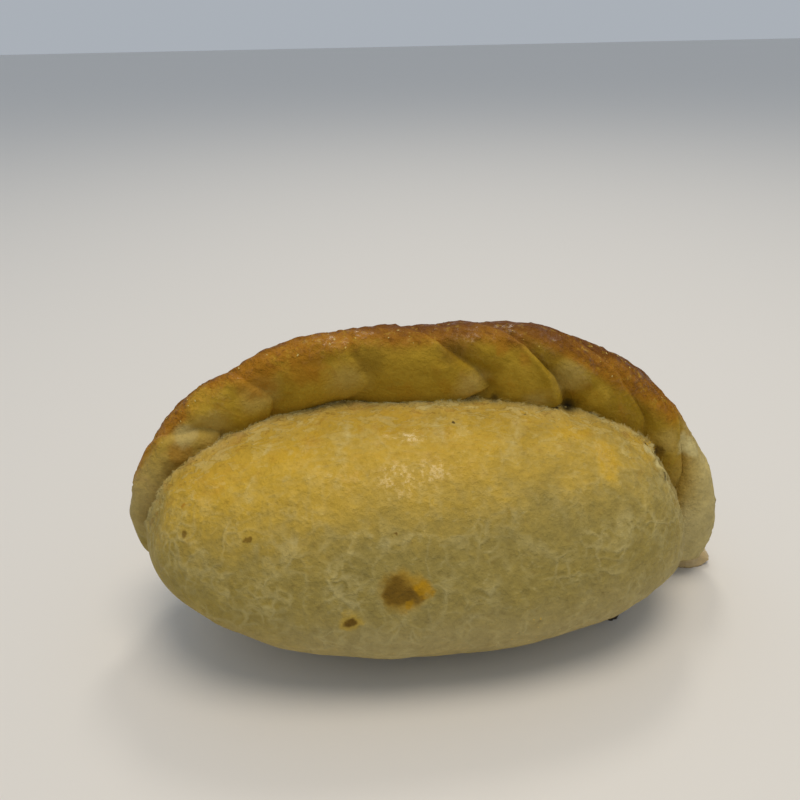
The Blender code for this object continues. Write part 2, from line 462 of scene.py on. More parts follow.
def given_out(graph, geometry, material):
    """Ends a geometry tree: smooth real geometry with its material."""
    smooth = graph.add("GeometryNodeSetShadeSmooth", None, {"Geometry": geometry})
    real = graph.add("GeometryNodeRealizeInstances", None, {"Geometry": smooth})
    done = graph.add("GeometryNodeSetMaterial", None, {"Geometry": real, "Material": material})
    graph.node("NodeGroupOutput", None, {0: done})


def grown(name, graph, settings, start=None):
    """The plain mesh object that a geometry tree makes out of a start mesh."""
    piece = bpy.data.objects.new(name, start or bpy.data.meshes.new(name + "_start"))
    bpy.context.scene.collection.objects.link(piece)
    modifier = piece.modifiers.new("grow", "NODES")
    modifier.node_group = graph.tree
    for identifier, number in settings.items():
        modifier[identifier] = number
    made = piece.evaluated_get(bpy.context.evaluated_depsgraph_get())
    mesh = bpy.data.meshes.new_from_object(made)
    if not mesh.polygons:
        raise RuntimeError(f"the tree of {name} gave no faces")
    piece.modifiers.clear()
    piece.data = mesh
    mesh.name = name
    return piece


def claimed(piece):
    """Tells the frame that a piece is a part of the crust."""
    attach(piece, BODY)
    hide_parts(NODE)


# ---------------------------------------------------------------- shapes


def sheet_points(graph, across, along):
    """A square sheet of points, and its two coordinates from 0 to 1."""
    values = {"Size X": 1.0, "Size Y": 1.0, "Vertices X": across, "Vertices Y": along}
    sheet = graph.add("GeometryNodeMeshGrid", None, values)
    x, y, _ = graph.apart(graph.place())
    return sheet, x + 0.5, y + 0.5


def moved(graph, geometry, **change):
    """The geometry with its points at a new Position, or moved by an Offset."""
    return graph.add("GeometryNodeSetPosition", None, {"Geometry": geometry, **change})


def raised(graph, geometry, height):
    """Moves each point along its own normal."""
    return moved(graph, geometry, Offset=graph.scaled(graph.add("GeometryNodeInputNormal"), height))


def closed_up(graph, sheet):
    """Joins a sheet's edges where they meet, and turns its faces outward."""
    joined = graph.add("GeometryNodeMergeByDistance", None, {"Geometry": sheet, "Distance": 0.02 * MM})
    return graph.add("GeometryNodeFlipFaces", None, {0: joined})


def pouch_shape(graph, size):
    """The belly before its relief: a closed skin of superellipse sections."""
    sheet, u, v = sheet_points(graph, size["rings"], size["spokes"])
    t = -graph.math("COSINE", u * math.pi)
    right = t > 0.0
    spoke = v * (2 * math.pi) - math.pi
    across = graph.math("COSINE", spoke)
    up = graph.math("SINE", spoke)

    def by_side(name):
        left_value = size[name + "_left"]
        return left_value + (size[name + "_right"] - left_value) * right

    def falloff(exponent):
        rest = graph.math("MAXIMUM", 1 - abs(t) ** exponent, 0)
        return rest ** (1 / exponent)

    def bulged(value, exponent):
        return graph.math("SIGN", value) * abs(value) ** (2 / exponent)

    tip = by_side("tip_height")
    top = tip + (size["crown_height"] - tip) * falloff(by_side("round_top"))
    under = tip - (tip + size["sunk"]) * falloff(by_side("round_under"))
    widest = under + (top - under) * size["widest_share"]
    width = falloff(by_side("round_plan"))
    upper = up > 0.0
    exponent = size["round_low"] + (size["round_high"] - size["round_low"]) * upper
    height = (widest - under) + ((top - widest) - (widest - under)) * upper
    front = across < 0.0
    depth = size["back_depth"] + (size["front_depth"] - size["back_depth"]) * front
    x = size["middle"] + by_side("half_length") * t
    y = size["middle_depth"] + depth * width * bulged(across, exponent)
    z = widest + height * bulged(up, exponent)
    return closed_up(graph, moved(graph, sheet, Position=graph.together(x, y, z)))


def pushed(graph, skin, pushes):
    """Pushes the skin at listed places: middle, radius and push, in mm."""
    place = graph.place()
    for middle, radius, push, *_ in pushes:
        near = graph.near(place, metres(middle), 0.0, radius * MM)
        skin = moved(graph, skin, Offset=graph.scaled(metres(push), near))
    return skin


def layers(graph, place, step, seed):
    """Thin layers of flaky skin that end in torn edges, one over the other, each a step high."""
    cover = graph.noise(place, FLAKY_SIZE, 4.0, 0.6, seed, 0.5)
    return sum(graph.ease(cover, edge, edge + TORN_WIDTH) * step for edge in LAYER_EDGES)


def pouch_relief(graph, skin, seam, size):
    """Swellings over the filling, wrinkles of the skin and the marks that the photo shows."""
    skin = pushed(graph, skin, BELLY_PUSHES)
    place = graph.place()
    lumps = graph.noise(place, size["lump_size"], 2.0, 0.45, 3.1)
    skin = raised(graph, skin, lumps * size["lump_height"])
    to_seam = graph.away_from(seam, place)
    ragged = graph.noise(place, 0.0032, 3.0, 0.5, 6.2)
    edge = graph.math("EXPONENT", -to_seam / size["edge_width"]) * (0.85 + ragged * 0.65)
    edge = edge * (0.2 + 0.8 * graph.ease(graph.apart(place)[0], -0.056, -0.040))
    skin = raised(graph, skin, edge * size["edge_height"])
    near_edge = 1 - graph.ease(to_seam, 0.003, 0.013)
    flaky = layers(graph, place, size["flake_height"], 8.8) * (0.2 + near_edge * 1.1)
    wrinkles = graph.noise(place, size["wrinkle_size"], 4.0, 0.6, 7.7, 0.6) * size["wrinkle_height"]
    skin = raised(graph, skin, wrinkles + flaky)
    return creased(graph, pushed(graph, skin, PITS), BELLY_LINES)


def creased(graph, skin, lines):
    """Raises or sinks the skin along listed lines: both ends, half width and height, in mm."""
    shaken = graph.shaken(graph.place(), 0.005, 0.0012)
    strips = [
        graph.along_line(shaken, metres(start), metres(end), half_width * MM) * (rise * MM)
        for start, end, half_width, rise in lines
    ]
    return raised(graph, skin, sum(strips))


def path_start():
    """The seam's middle line as a mesh of points, with its radius and reach at each."""
    mesh = bpy.data.meshes.new("seam_path")
    points = [metres(row[:3]) for row in SEAM]
    mesh.from_pydata(points, [(i, i + 1) for i in range(len(SEAM) - 1)], [])
    for name, column in (("seam_radius", 3), ("seam_reach", 4)):
        numbers = mesh.attributes.new(name, "FLOAT", "POINT")
        numbers.data.foreach_set("value", [row[column] * MM for row in SEAM])
    return mesh


def seam_curve(graph, start):
    curve = graph.add("GeometryNodeMeshToCurve", None, {0: start})
    smooth = graph.add("GeometryNodeCurveSplineType", {"spline_type": "CATMULL_ROM"}, {0: curve})
    return graph.add("GeometryNodeSetSplineResolution", None, {0: smooth, "Resolution": 40})


def round_seam(graph, along, down, radius):
    """Places for a pattern that runs along the seam: round it on a circle of a radius in metres."""
    return graph.together(along, graph.math("SINE", down) * radius, graph.math("COSINE", down) * radius)


def fold_depth(graph, at, down, size):
    """The folds at places along the seam and angles down from its top.

    It gives how far they sink the seam, how near a fold's rim is, and how deep it lies in the shade that is
    painted under each lip.
    """
    down_side = graph.ease(abs(down), 0.0, FULL_DEPTH_FROM)
    waver = graph.noise(round_seam(graph, at * 0.6, down, 0.006), 0.006, 2.0, 0.5, 2.2) * size["waver"]
    foot = graph.ease(abs(down), *LIP_SOFTENS)
    depths = []
    rims = []
    shades = []
    for crease, _, on_top, on_side, lip, tuck, sharp in CREASES:
        past = at + waver - crease * MM
        softer = 1 + foot * ((1.25 - sharp) * 7.0)
        falling = graph.math("MINIMUM", past / (softer * (lip * MM)), -past / (tuck * MM))
        deep = on_top * MM + down_side * (on_side - on_top) * MM
        depths.append(deep * graph.math("EXPONENT", falling))
        from_rim = (past + RIM_WIDTH) / RIM_WIDTH
        rims.append(graph.math("EXPONENT", -(from_rim * from_rim)) * sharp)
        shade = graph.math("EXPONENT", -abs(past) / SHADE_WIDTH) * (past > -0.0003)
        shades.append(shade * (0.3 + 0.7 * sharp))
    off_top = graph.ease(abs(down), 0.0, 0.9)
    return graph.largest(depths), graph.largest(rims) * off_top, graph.largest(shades) * off_top


def seam_shape(graph, curve, size):
    """The folded seam: a thick tube along the curve, whose rings slant as its folds do."""
    sheet, u, v = sheet_points(graph, size["seam_rings"], size["seam_spokes"])
    total = graph.add("GeometryNodeCurveLength", None, {0: curve})
    at = u * total
    angle = v * (2 * math.pi) - math.pi
    places = [0.0] + [crease * MM for crease, *_ in CREASES] + [total]
    slants = [0.0] + [slant * MM for _, slant, *_ in CREASES] + [0.0]
    slant = sum(
        graph.ramp(at, low, high) * (second - first)
        for low, high, first, second in zip(places, places[1:], slants, slants[1:])
    )
    to_end = graph.math("MINIMUM", at, total - at)
    back_slant = size["back_slant"] * graph.ease(to_end, 0.0, CREASES[0][0] * MM)
    turned = abs(angle)
    down = graph.math("MINIMUM", turned, (math.pi - turned) * (HIDDEN_FROM / (math.pi - HIDDEN_FROM)))
    front = angle > 0.0
    along = at + down * (slant * front - back_slant * (1 - front))

    def sampled(name):
        settings = {"mode": "LENGTH", "data_type": "FLOAT", "use_all_curves": True}
        values = {"Curves": curve, "Value": graph.named(name), "Length": along}
        return graph.add("GeometryNodeSampleCurve", settings, values)

    settings = {"mode": "LENGTH", "use_all_curves": True}
    line = graph.node("GeometryNodeSampleCurve", settings, {"Curves": curve, "Length": along})
    middle = Value(graph, line.outputs["Position"])
    tangent = Value(graph, line.outputs["Tangent"])
    outward = graph.vector("NORMALIZE", graph.vector("CROSS_PRODUCT", tangent, (0.0, 1.0, 0.0)))
    near_end = graph.math("MINIMUM", along, total - along)
    end_share = 1 - graph.ramp(near_end, 0.0, size["end_rounding"])
    rounding = graph.math("SQRT", graph.math("MAXIMUM", 1 - end_share * end_share, 0))
    sunk, rim, tucked = fold_depth(graph, at, angle, size)
    radius = (sampled("seam_radius") - sunk + rim * size["rim_height"]) * rounding
    reach = radius + sampled("seam_reach") * rounding
    up = graph.math("COSINE", angle)
    height = (reach + (radius - reach) * (up > 0.0)) * up
    depth = radius * size["fullness"] * graph.math("SINE", angle)
    sideways = graph.together(0.0, depth * -1, 0.0)
    point = graph.vector("ADD", graph.vector("ADD", middle, graph.scaled(outward, height)), sideways)
    sheet = graph.stored(sheet, along=at, down=angle, rim=rim, tucked=tucked)
    return closed_up(graph, moved(graph, sheet, Position=point))


def seam_relief(graph, skin, size):
    """Twisted ridges along the folds, and the flaky skin that the heat raised."""
    place = graph.place()
    down = graph.named("down")
    twist = round_seam(graph, graph.named("along"), down, 0.003)
    on_top = 1 - graph.ease(abs(down), 0.5, 1.3)
    ridges = graph.noise(twist, 0.0024, 2.0, 0.5, 5.3) * (0.25 + on_top * 0.75)
    lumps = graph.noise(place, 0.008, 2.0, 0.5, 2.6) * 0.00035
    skin = raised(graph, skin, ridges * size["ridge_height"] + lumps)
    flaky = layers(graph, place, size["flake_height"] * 1.4, 1.9) * (0.1 + on_top * 0.9)
    wrinkles = graph.noise(place, size["wrinkle_size"] * 0.6, 4.0, 0.6, 4.9, 0.8) * size["wrinkle_height"]
    return pushed(graph, raised(graph, skin, flaky + wrinkles), PITS)


def rested(graph, geometry):
    """Nothing reaches below the surface it rests on."""
    x, y, z = graph.apart(graph.place())
    return moved(graph, geometry, Position=graph.together(x, y, graph.math("MAXIMUM", z, 0)))


def crust_tree(sizes, material):
    """The whole crust: belly and seam joined into one skin, which carries the numbers of its material."""
    graph = growing_tree("saltena_crust")
    size, settings = graph.offered(sizes)
    start = Value(graph, graph.tree.nodes["Group Input"].outputs["Start"])
    seam = seam_relief(graph, seam_shape(graph, seam_curve(graph, start), size), size)
    pouch = pouch_relief(graph, pouch_shape(graph, size), seam, size)
    pouch = graph.stored(pouch, on_seam=0.0)
    seam = graph.stored(seam, on_seam=1.0)
    both = graph.add("GeometryNodeJoinGeometry", None, {0: [seam, pouch]})
    union = {"operation": "UNION", "solver": "MANIFOLD"}
    whole = graph.add("GeometryNodeMeshBoolean", union, {"Mesh 2": [pouch, seam]})
    place = graph.place()
    for name in ("on_seam", "along", "down", "rim", "tucked"):
        values = {"Mesh": both, "Value": graph.named(name), "Sample Position": place}
        sampled = graph.add("GeometryNodeSampleNearestSurface", {"data_type": "FLOAT"}, values)
        whole = graph.stored(whole, **{name: sampled})
    to_pouch = graph.away_from(pouch, place)
    to_seam = graph.away_from(seam, place)
    whole = graph.stored(whole, gap=to_seam + (to_pouch - to_seam) * (graph.named("on_seam") > 0.5))
    given_out(graph, rested(graph, pinched_tip(graph, whole)), material)
    return graph, settings


def pinched_tip(graph, skin):
    """Runs the belly and the seam smoothly together under the pinched tip at the left end."""
    place = graph.place()
    x, _, z = graph.apart(place)
    mask = (1 - graph.ease(z, 0.021, 0.027)) * (1 - graph.ease(x, -0.052, -0.046))
    skin = graph.stored(skin, on_seam=graph.named("on_seam") * (1 - mask))
    skin = graph.stored(skin, gap=graph.named("gap") + mask * 0.01)
    values = {"Value": place, "Iterations": 120, "Weight": mask}
    soft = graph.add("GeometryNodeBlurAttribute", {"data_type": "FLOAT_VECTOR"}, values)
    return moved(graph, skin, Position=soft)


# ---------------------------------------------------------------- materials

# Noises that all parts of the dough share: size in metres, detail, roughness and seed of each.
NOISES = {
    "patches": (0.016, 3.0, 0.55, 4.4),
    "mottle": (0.0042, 4.0, 0.6, 9.1),
    "grain": (0.0011, 3.0, 0.6, 2.0),
    "fine": (0.00055, 2.0, 0.6, 8.0),
    "speckle": (0.0023, 3.0, 0.6, 5.9),
}
TONES = ("pale", "khaki", "golden", "amber", "russet", "olive", "soot", "cream", "stain", "juice")

# Heights in metres between which the belly goes over from pale to khaki, from khaki to golden, and
# from dull to glossy.
DRY_LINE = (0.012, 0.027)
GOLDEN_LINE = (0.032, 0.045)
GLOSS_LINE = (0.030, 0.045)

# Where the egg wash shines most: middle and radius in mm.
GLOSS_PATCHES = (
    ((-11.3, -18.3, 41.6), 6.5),
    ((-5.0, -17.2, 42.4), 5.0),
    ((-8.9, -7.8, 46.3), 7.0),
    ((-27.0, -8.0, 45.2), 5.0),
    ((28.0, -12.0, 40.6), 5.0),
    ((-43.4, -0.5, 51.6), 5.0),
    ((-24.5, 1.7, 60.5), 6.0),
    ((20.6, 0.9, 58.6), 6.0),
    ((28.5, -1.0, 54.0), 6.0),
    ((40.0, 1.0, 49.0), 6.0),
)
# Where the egg wash is thick and golden: middle and radius in mm.
GOLDEN_PATCHES = (
    ((-47.3, -6.5, 40.3), 11.0),
    ((-30.0, -10.0, 44.0), 12.0),
    ((-9.3, -3.1, 47.1), 14.0),
    ((22.5, -7.5, 44.0), 9.0),
    ((29.0, -13.0, 40.0), 7.0),
    ((38.9, -4.7, 37.9), 8.0),
)
# Pale places on the folds, mostly at their lower ends: middle and radius in mm.
PALE_PATCHES = (
    ((-50.9, -0.5, 44.6), 5.5),
    ((-45.0, -1.2, 46.5), 5.0),
    ((-35.5, -0.8, 51.6), 5.5),
    ((-18.8, -1.0, 53.0), 6.0),
    ((4.8, -1.4, 51.2), 5.0),
    ((24.6, -1.6, 52.0), 5.0),
    ((18.5, -1.2, 48.0), 4.0),
    ((46.5, -1.4, 36.0), 5.0),
    ((54.6, -2.3, 26.2), 11.0),
)
# Flat blisters with a pale rim: middle and radius in mm.
BLISTERS = (
    ((-34.7, -26.7, 26.0), 3.3),
    ((-20.5, -27.8, 28.8), 4.4),
    ((5.7, -29.7, 23.0), 3.0),
    ((33.5, -24.0, 20.0), 3.8),
)
# Marks on the belly: middle and radius in mm, colour and how strong.
BELLY_MARKS = (
    ((-12.2, -29.1, 26.0), 5.2, "juice", 0.6),
    ((-13.2, -29.1, 26.2), 3.7, "stain", 0.85),
    ((-10.2, -29.2, 25.4), 2.6, "stain", 0.75),
    ((-8.6, -29.2, 26.2), 2.2, "juice", 0.8),
    ((-11.4, -29.2, 23.6), 1.3, "juice", 0.7),
    ((-21.8, -29.5, 20.8), 2.6, "golden", 0.6),
    ((-21.8, -29.5, 20.8), 1.4, "stain", 0.95),
    ((-49.6, -16.5, 33.3), 1.2, "stain", 0.75),
    ((-49.7, -12.5, 36.5), 0.7, "amber", 0.7),
    ((-38.5, -21.6, 34.5), 0.8, "stain", 0.75),
    ((-58.1, -9.1, 27.2), 0.6, "stain", 0.8),
    ((-13.0, -24.5, 35.4), 0.5, "stain", 0.8),
    ((0.7, -6.5, 46.7), 0.5, "soot", 0.8),
    ((42.6, -10.4, 32.8), 0.8, "soot", 0.85),
    ((41.6, -4.5, 36.0), 2.4, "cream", 0.8),
    ((42.4, -7.5, 34.2), 1.8, "cream", 0.8),
)
# Marks on the folds, the same way.
SEAM_MARKS = (
    # The first two paint the first fold's hollow amber and darker, partly its own colour and partly painted
    # shade.
    ((-51.4, -2.4, 41.6), 3.2, "amber", 0.5),
    ((-53.0, -2.9, 38.8), 2.8, "stain", 0.5),
    ((-50.1, -1.2, 44.8), 3.0, "cream", 0.3),
    ((-36.1, 1.0, 55.0), 5.5, "amber", 0.7),
    ((-26.5, -0.7, 57.0), 5.0, "amber", 0.7),
    ((-14.4, 0.2, 57.6), 4.5, "stain", 0.3),
    ((0.9, 0.3, 58.4), 4.0, "stain", 0.4),
    ((10.4, -0.6, 59.2), 2.4, "amber", 0.7),
    ((15.0, -1.6, 56.0), 2.0, "amber", 0.7),
    ((14.0, -2.0, 52.5), 5.5, "golden", 0.5),
    ((3.0, 2.5, 61.2), 6.5, "russet", 0.35),
    ((15.0, 2.5, 60.8), 6.5, "russet", 0.45),
    ((-46.7, 0.6, 50.6), 4.0, "golden", 0.5),
    ((-8.5, 2.5, 62.0), 6.5, "russet", 0.30),
    ((22.0, 1.2, 58.4), 4.5, "russet", 0.35),
    ((34.2, 0.3, 51.2), 4.0, "amber", 0.5),
    ((44.0, -2.0, 33.8), 2.4, "stain", 0.7),
    ((30.7, -2.0, 47.2), 3.0, "golden", 0.5),
    ((50.3, -0.7, 34.7), 2.8, "cream", 0.65),
    ((52.4, -0.6, 33.2), 2.4, "cream", 0.65),
)
# How far the seam is browned: mm along it, and radians down its front from the top.
BROWNED = (
    (20.0, 0.50),
    (32.0, 0.95),
    (42.0, 0.75),
    (52.0, 1.20),
    (62.0, 1.05),
    (68.0, 0.70),
    (76.0, 0.80),
    (84.0, 0.70),
    (91.0, 0.90),
    (96.0, 0.60),
    (104.0, 1.15),
    (114.0, 1.20),
    (124.0, 0.90),
    (132.0, 0.40),
)


def new_material(name):
    """An empty material and its graph."""
    material = bpy.data.materials.new(name)
    material.use_nodes = True
    return material, Graph(material.node_tree)


def finish_material(graph, **sockets):
    """Ends a material with its shader, whose sockets are named with _ for a space."""
    values = {name.replace("_", " "): value for name, value in sockets.items()}
    shader = graph.add("ShaderNodeBsdfPrincipled", None, values)
    graph.node("ShaderNodeOutputMaterial", None, {0: shader})


def plain_material(name, tone, roughness):
    material, graph = new_material(name)
    finish_material(graph, Base_Color=(*tone, 1.0), Roughness=roughness)
    return material


def dough_material(name, look):
    """Bare dough: cream, golden in places."""
    material, graph = new_material(name)
    mixed = graph.ease(graph.noise(graph.place(), 0.004, 2.0, 0.5, 1.7), -1.2, 0.6)
    tone = graph.blend((*look.cream, 1.0), (*look.golden, 1.0), mixed)
    finish_material(graph, Base_Color=tone, Roughness=0.6)
    return material


class Dough:
    """What the parts of the crust's material share: its tree, places, colours, noises and numbers."""

    def __init__(self, graph, look):
        self.graph = graph
        self.tones = {name: (*getattr(look, name), 1.0) for name in TONES}
        self.place = graph.place()
        self.x, _, self.z = graph.apart(self.place)
        for name, noise in NOISES.items():
            setattr(self, name, graph.noise(self.place, *noise))
        self.on_seam = graph.named("on_seam")
        self.gap = graph.named("gap")


class Layers:
    """A colour of the crust, with one wash of a named colour over another."""

    def __init__(self, dough, tone):
        self.dough = dough
        self.tone = tone

    def wash(self, name, cover):
        """Another colour over it, where and as strong as the cover says."""
        self.tone = self.dough.graph.blend(self.tone, self.dough.tones[name], cover)

    def mark(self, marks):
        """Marks with uneven rims: middle and radius in mm, colour and how strong."""
        graph = self.dough.graph
        uneven = graph.shaken(self.dough.place, 0.0022, 0.0010)
        for middle, radius, name, strength in marks:
            spot = graph.near(uneven, metres(middle), radius * 0.45 * MM, radius * MM)
            self.wash(name, spot * strength)


def crust_material(look):
    material, graph = new_material("baked_crust")
    dough = Dough(graph, look)
    mottle, grain, fine = dough.mottle, dough.grain, dough.fine
    web = crack_web(dough)
    flaky = flaky_skin(dough)
    seam, top = seam_tone(dough)
    browned = top * dough.on_seam
    crust = Layers(dough, graph.blend(belly_tone(dough, web, flaky), seam, dough.on_seam))
    junction_tone(dough, crust)
    high = graph.ease(dough.z, *GLOSS_LINE)
    rough = 1 - high * 0.45
    uneven = 1 + mottle * 0.09 + (dough.speckle * 0.15 + grain * 0.12) * rough + fine * 0.08
    wet = (high * 0.30 + browned * 0.65) * graph.ease(dough.patches + mottle * 0.6, -0.6, 0.8)
    for middle, radius in GLOSS_PATCHES:
        wet = graph.math("MAXIMUM", wet, graph.near(dough.place, metres(middle), 0.001, radius * MM))
    dabs = graph.ease(grain + fine * 0.5 + mottle * 0.3, -0.1, 0.5)
    glossy = graph.clamped(wet * (0.10 + dabs * 0.90))
    finish_material(
        graph,
        Base_Color=graph.scaled(crust.tone, uneven),
        Roughness=0.62 - glossy * 0.38,
        Coat_Weight=glossy * look.gloss,
        Coat_Roughness=0.22,
        Specular_IOR_Level=0.11,
        Normal=crust_bump(dough, web, flaky, browned),
    )
    return material


def crust_bump(dough, web, flaky, browned):
    """The finest unevenness of the crust, each with its height in metres."""
    height = dough.mottle * 0.00020 + dough.speckle * 0.00012 + dough.grain * 0.00011
    height = height + web * 0.00015 + dough.fine * 0.00004
    height = height + flaky * 0.00014 + browned * (dough.grain * 0.00010 + dough.fine * 0.00003)
    return dough.graph.add("ShaderNodeBump", None, {"Strength": 1.0, "Distance": 1.0, "Height": height})


def junction_tone(dough, crust):
    """Painted shade where the seam leaves the belly: darker dough near the gap, a broken dark line in it and
    dark pit floors.
    """
    graph = dough.graph
    # Painted shade on both sides of the gap, in the stain colour.
    shaded = 1 - graph.ease(dough.gap + dough.mottle * 0.0003, 0.0003, 0.0022)
    crust.wash("stain", shaded * (0.08 + dough.on_seam * 0.24))
    # A broken line of painted shade right in the gap, in the soot colour.
    broken = graph.ease(graph.noise(dough.place, 0.0060, 2.0, 0.5, 5.6), 0.15, 0.65)
    crust.wash("soot", (1 - graph.ease(dough.gap, 0.0001, 0.0005)) * broken * 0.8)
    # Painted shade on the floor of each pit, in the soot colour.
    for middle, radius, push, dark in PITS:
        bottom = [value + shift * PIT_FLOOR for value, shift in zip(middle, push)]
        pit = graph.near(dough.place, metres(bottom), radius * 0.1 * MM, radius * 0.68 * MM)
        crust.wash("soot", pit * dark)


def crack_web(dough):
    """Fine pale cracks of the dried skin, mostly low on the belly: 1 on a crack."""
    graph = dough.graph
    webbed = graph.shaken(dough.place, 0.0055, 0.0030)
    coarse = graph.cell_rims(webbed, 0.0078, 0.10)
    fine = graph.cell_rims(webbed, 0.0037, 0.20)
    there = graph.ease(graph.noise(dough.place, 0.008, 2.0, 0.5, 3.3), -0.5, 0.6)
    faint = graph.ease(graph.noise(dough.place, 0.006, 2.0, 0.5, 7.3), -0.4, 0.8)
    low = 1 - graph.ease(dough.z, 0.026, 0.042) * 0.5
    cracks = coarse * there * 0.7 + fine * faint * 0.8
    uneven = graph.shaken(dough.place, 0.004, 0.0009)
    for middle, radius in BLISTERS:
        from_rim = abs(graph.vector("DISTANCE", uneven, metres(middle), output=1) - radius * MM)
        cracks = cracks + (1 - graph.ease(from_rim, 0.0, 0.0007)) * 0.5 * faint
    return graph.clamped(cracks) * low * (1 - dough.on_seam)


def flaky_skin(dough):
    """Thin torn layers of skin on the belly near the seam: a height in steps, 0 far from it."""
    graph = dough.graph
    stretched = graph.vector("MULTIPLY", dough.place, (0.5, 1.0, 1.3))
    cover = graph.noise(stretched, 0.0024, 4.0, 0.62, 3.9, 0.7)
    steps = sum(graph.ease(cover, edge, edge + 0.08) for edge in (-0.35, 0.10, 0.50))
    near = graph.math("EXPONENT", -dough.gap / 0.0075)
    return (steps - 1.2) * near * (1 - dough.on_seam)


def belly_tone(dough, web, flaky):
    """Golden under the seam, khaki in the middle, pale and dry at the bottom."""
    graph, patches, mottle, grain = dough.graph, dough.patches, dough.mottle, dough.grain
    left = 1 - graph.ease(dough.x, -0.050, -0.012)
    level = dough.z + patches * 0.0034 + mottle * 0.0018 + grain * 0.0005 + left * 0.0045
    belly = Layers(dough, dough.tones["pale"])
    belly.wash("khaki", graph.ease(level, *DRY_LINE))
    washed = graph.ease(level, *GOLDEN_LINE) * 0.80
    spread = graph.shaken(dough.place, 0.009, 0.0035)
    for middle, radius in GOLDEN_PATCHES:
        patch = graph.near(spread, metres(middle), 0.001, radius * MM) * 1.2
        washed = graph.math("MAXIMUM", washed, patch)
    washed = graph.clamped(washed + left * 0.14 + mottle * 0.09 + grain * 0.05)
    belly.wash("golden", washed)
    ambered = graph.ease(washed + patches * 0.30 + mottle * 0.20 + grain * 0.06, 0.90, 1.5)
    belly.wash("amber", ambered * 0.55)
    flattened = graph.vector("MULTIPLY", dough.place, (1.0, 1.0, 1.7))
    dashes = graph.noise(flattened, 0.0017, 3.0, 0.6, 6.6)
    belly.wash("stain", graph.ease(dashes, 0.15, 0.9) * 0.26)
    belly.wash("cream", graph.ease(-dashes, 0.15, 0.9) * 0.28)
    belly.wash("cream", web * 0.42)
    belly.wash("cream", graph.clamped(flaky * 0.60))
    belly.wash("amber", graph.clamped(flaky * -0.50))
    torn = graph.math("EXPONENT", -dough.gap / 0.0018) * (0.60 + mottle * 0.4 + grain * 0.4)
    belly.wash("cream", graph.clamped(torn) * 0.85)
    uneven = graph.shaken(dough.place, 0.003, 0.0011)
    line_strength = graph.clamped(0.30 + mottle * 0.30 + grain * 0.25)
    # Raised lines are painted cream; a groove is painted darker in the stain colour, as painted shade in it.
    for start, end, half_width, rise in BELLY_LINES:
        strip = graph.along_line(uneven, metres(start), metres(end), half_width * 1.1 * MM)
        belly.wash("cream" if rise > 0 else "stain", strip * line_strength)
    belly.mark(BELLY_MARKS)
    return belly.tone


def seam_tone(dough):
    """The folds: their colour, olive and golden on the sides and pale at the ends, with painted shade under
    each lip and a painted highlight on each rim, and how browned.
    """
    graph, patches, mottle, grain = dough.graph, dough.patches, dough.mottle, dough.grain
    along, down, rim, tucked = [graph.named(name) for name in ("along", "down", "rim", "tucked")]
    streaks = graph.noise(round_seam(graph, along, down, 0.0020), 0.0016, 3.0, 0.6, 5.3)
    reach = BROWNED[0][1] + sum(
        graph.ramp(along, near * MM, far * MM) * (after - before)
        for (near, before), (far, after) in zip(BROWNED, BROWNED[1:])
    )
    turned = graph.math("MAXIMUM", down, -down - 0.6) + patches * 0.18 + mottle * 0.15 + streaks * 0.10
    top = 1 - graph.ease(turned - reach, -0.45, 0.35)
    crown = 1 - graph.ease(turned, -0.3, 0.6)
    ends = graph.ease(along, 0.012, 0.032) * (1 - graph.ease(along + mottle * 0.001, 0.128, 0.143))
    right = graph.ease(along, 0.055, 0.105)
    folds = Layers(dough, dough.tones["golden"])
    folds.wash("olive", 0.45 + right * 0.25 + patches * 0.25 + mottle * 0.15)
    folds.wash("amber", graph.ease(streaks * 0.6 + mottle * 0.8, -0.05, 0.75) * 0.45)
    folds.wash("pale", (1 - ends) * 0.75)
    # Painted shade under each fold's lip, in the stain colour.
    folds.wash("stain", graph.clamped(tucked * (0.62 + mottle * 0.2)))
    lit_rim = graph.clamped(rim * (1 - graph.ease(abs(down), 0.7, 1.25)) * (0.8 + mottle * 0.6))
    folds.wash("golden", lit_rim * 0.8)
    uneven = graph.shaken(dough.place, 0.004, 0.0014)
    for middle, radius in PALE_PATCHES:
        patch = graph.near(uneven, metres(middle), radius * 0.2 * MM, radius * MM)
        folds.wash("golden", patch * 0.40)
        folds.wash("pale", patch * 0.35)
    tail = graph.ease(along, 0.130, 0.145) * (1 - graph.ease(along, 0.166, 0.174))
    folds.wash("cream", graph.clamped(tail * (0.45 + mottle * 0.2)))
    uneven_heat = mottle * 0.20 + grain * 0.14 + streaks * 0.16
    heat = top * (0.50 + right * 0.20) + crown * 0.32 + uneven_heat * (0.2 + top)
    heat = heat * (0.10 + ends * 0.90)
    folds.wash("amber", graph.ease(heat, 0.05, 0.55))
    folds.wash("russet", graph.ease(heat + right * 0.18 + crown * 0.18, 0.55, 1.25))
    spots = graph.noise(dough.place, 0.0032, 3.0, 0.6, 1.1)
    burnt = graph.ease(spots + grain * 0.15, 0.35, 0.85) * top * (0.25 + right * 0.75) * ends
    folds.wash("stain", burnt * 0.8)
    flecks = graph.noise(dough.place, 0.0015, 3.0, 0.65, 12.3)
    folds.wash("russet", graph.ease(flecks, 0.08, 0.5) * top * 0.5)
    folds.wash("golden", graph.ease(-flecks, 0.15, 0.6) * top * 0.45)
    folds.mark(SEAM_MARKS)
    return folds.tone, top


# ---------------------------------------------------------------- pieces

# Bits baked onto the foot: middle and half sizes in mm, colour and roughness.
BITS = (
    ("leak_tongue", (58.3, 4.8, 0.8), (5.2, 3.6, 2.4), (0.52, 0.38, 0.17), 0.4),
    ("burnt_bit", (33.8, -9.2, 2.2), (3.2, 4.2, 5.2), (0.035, 0.022, 0.012), 0.6),
)
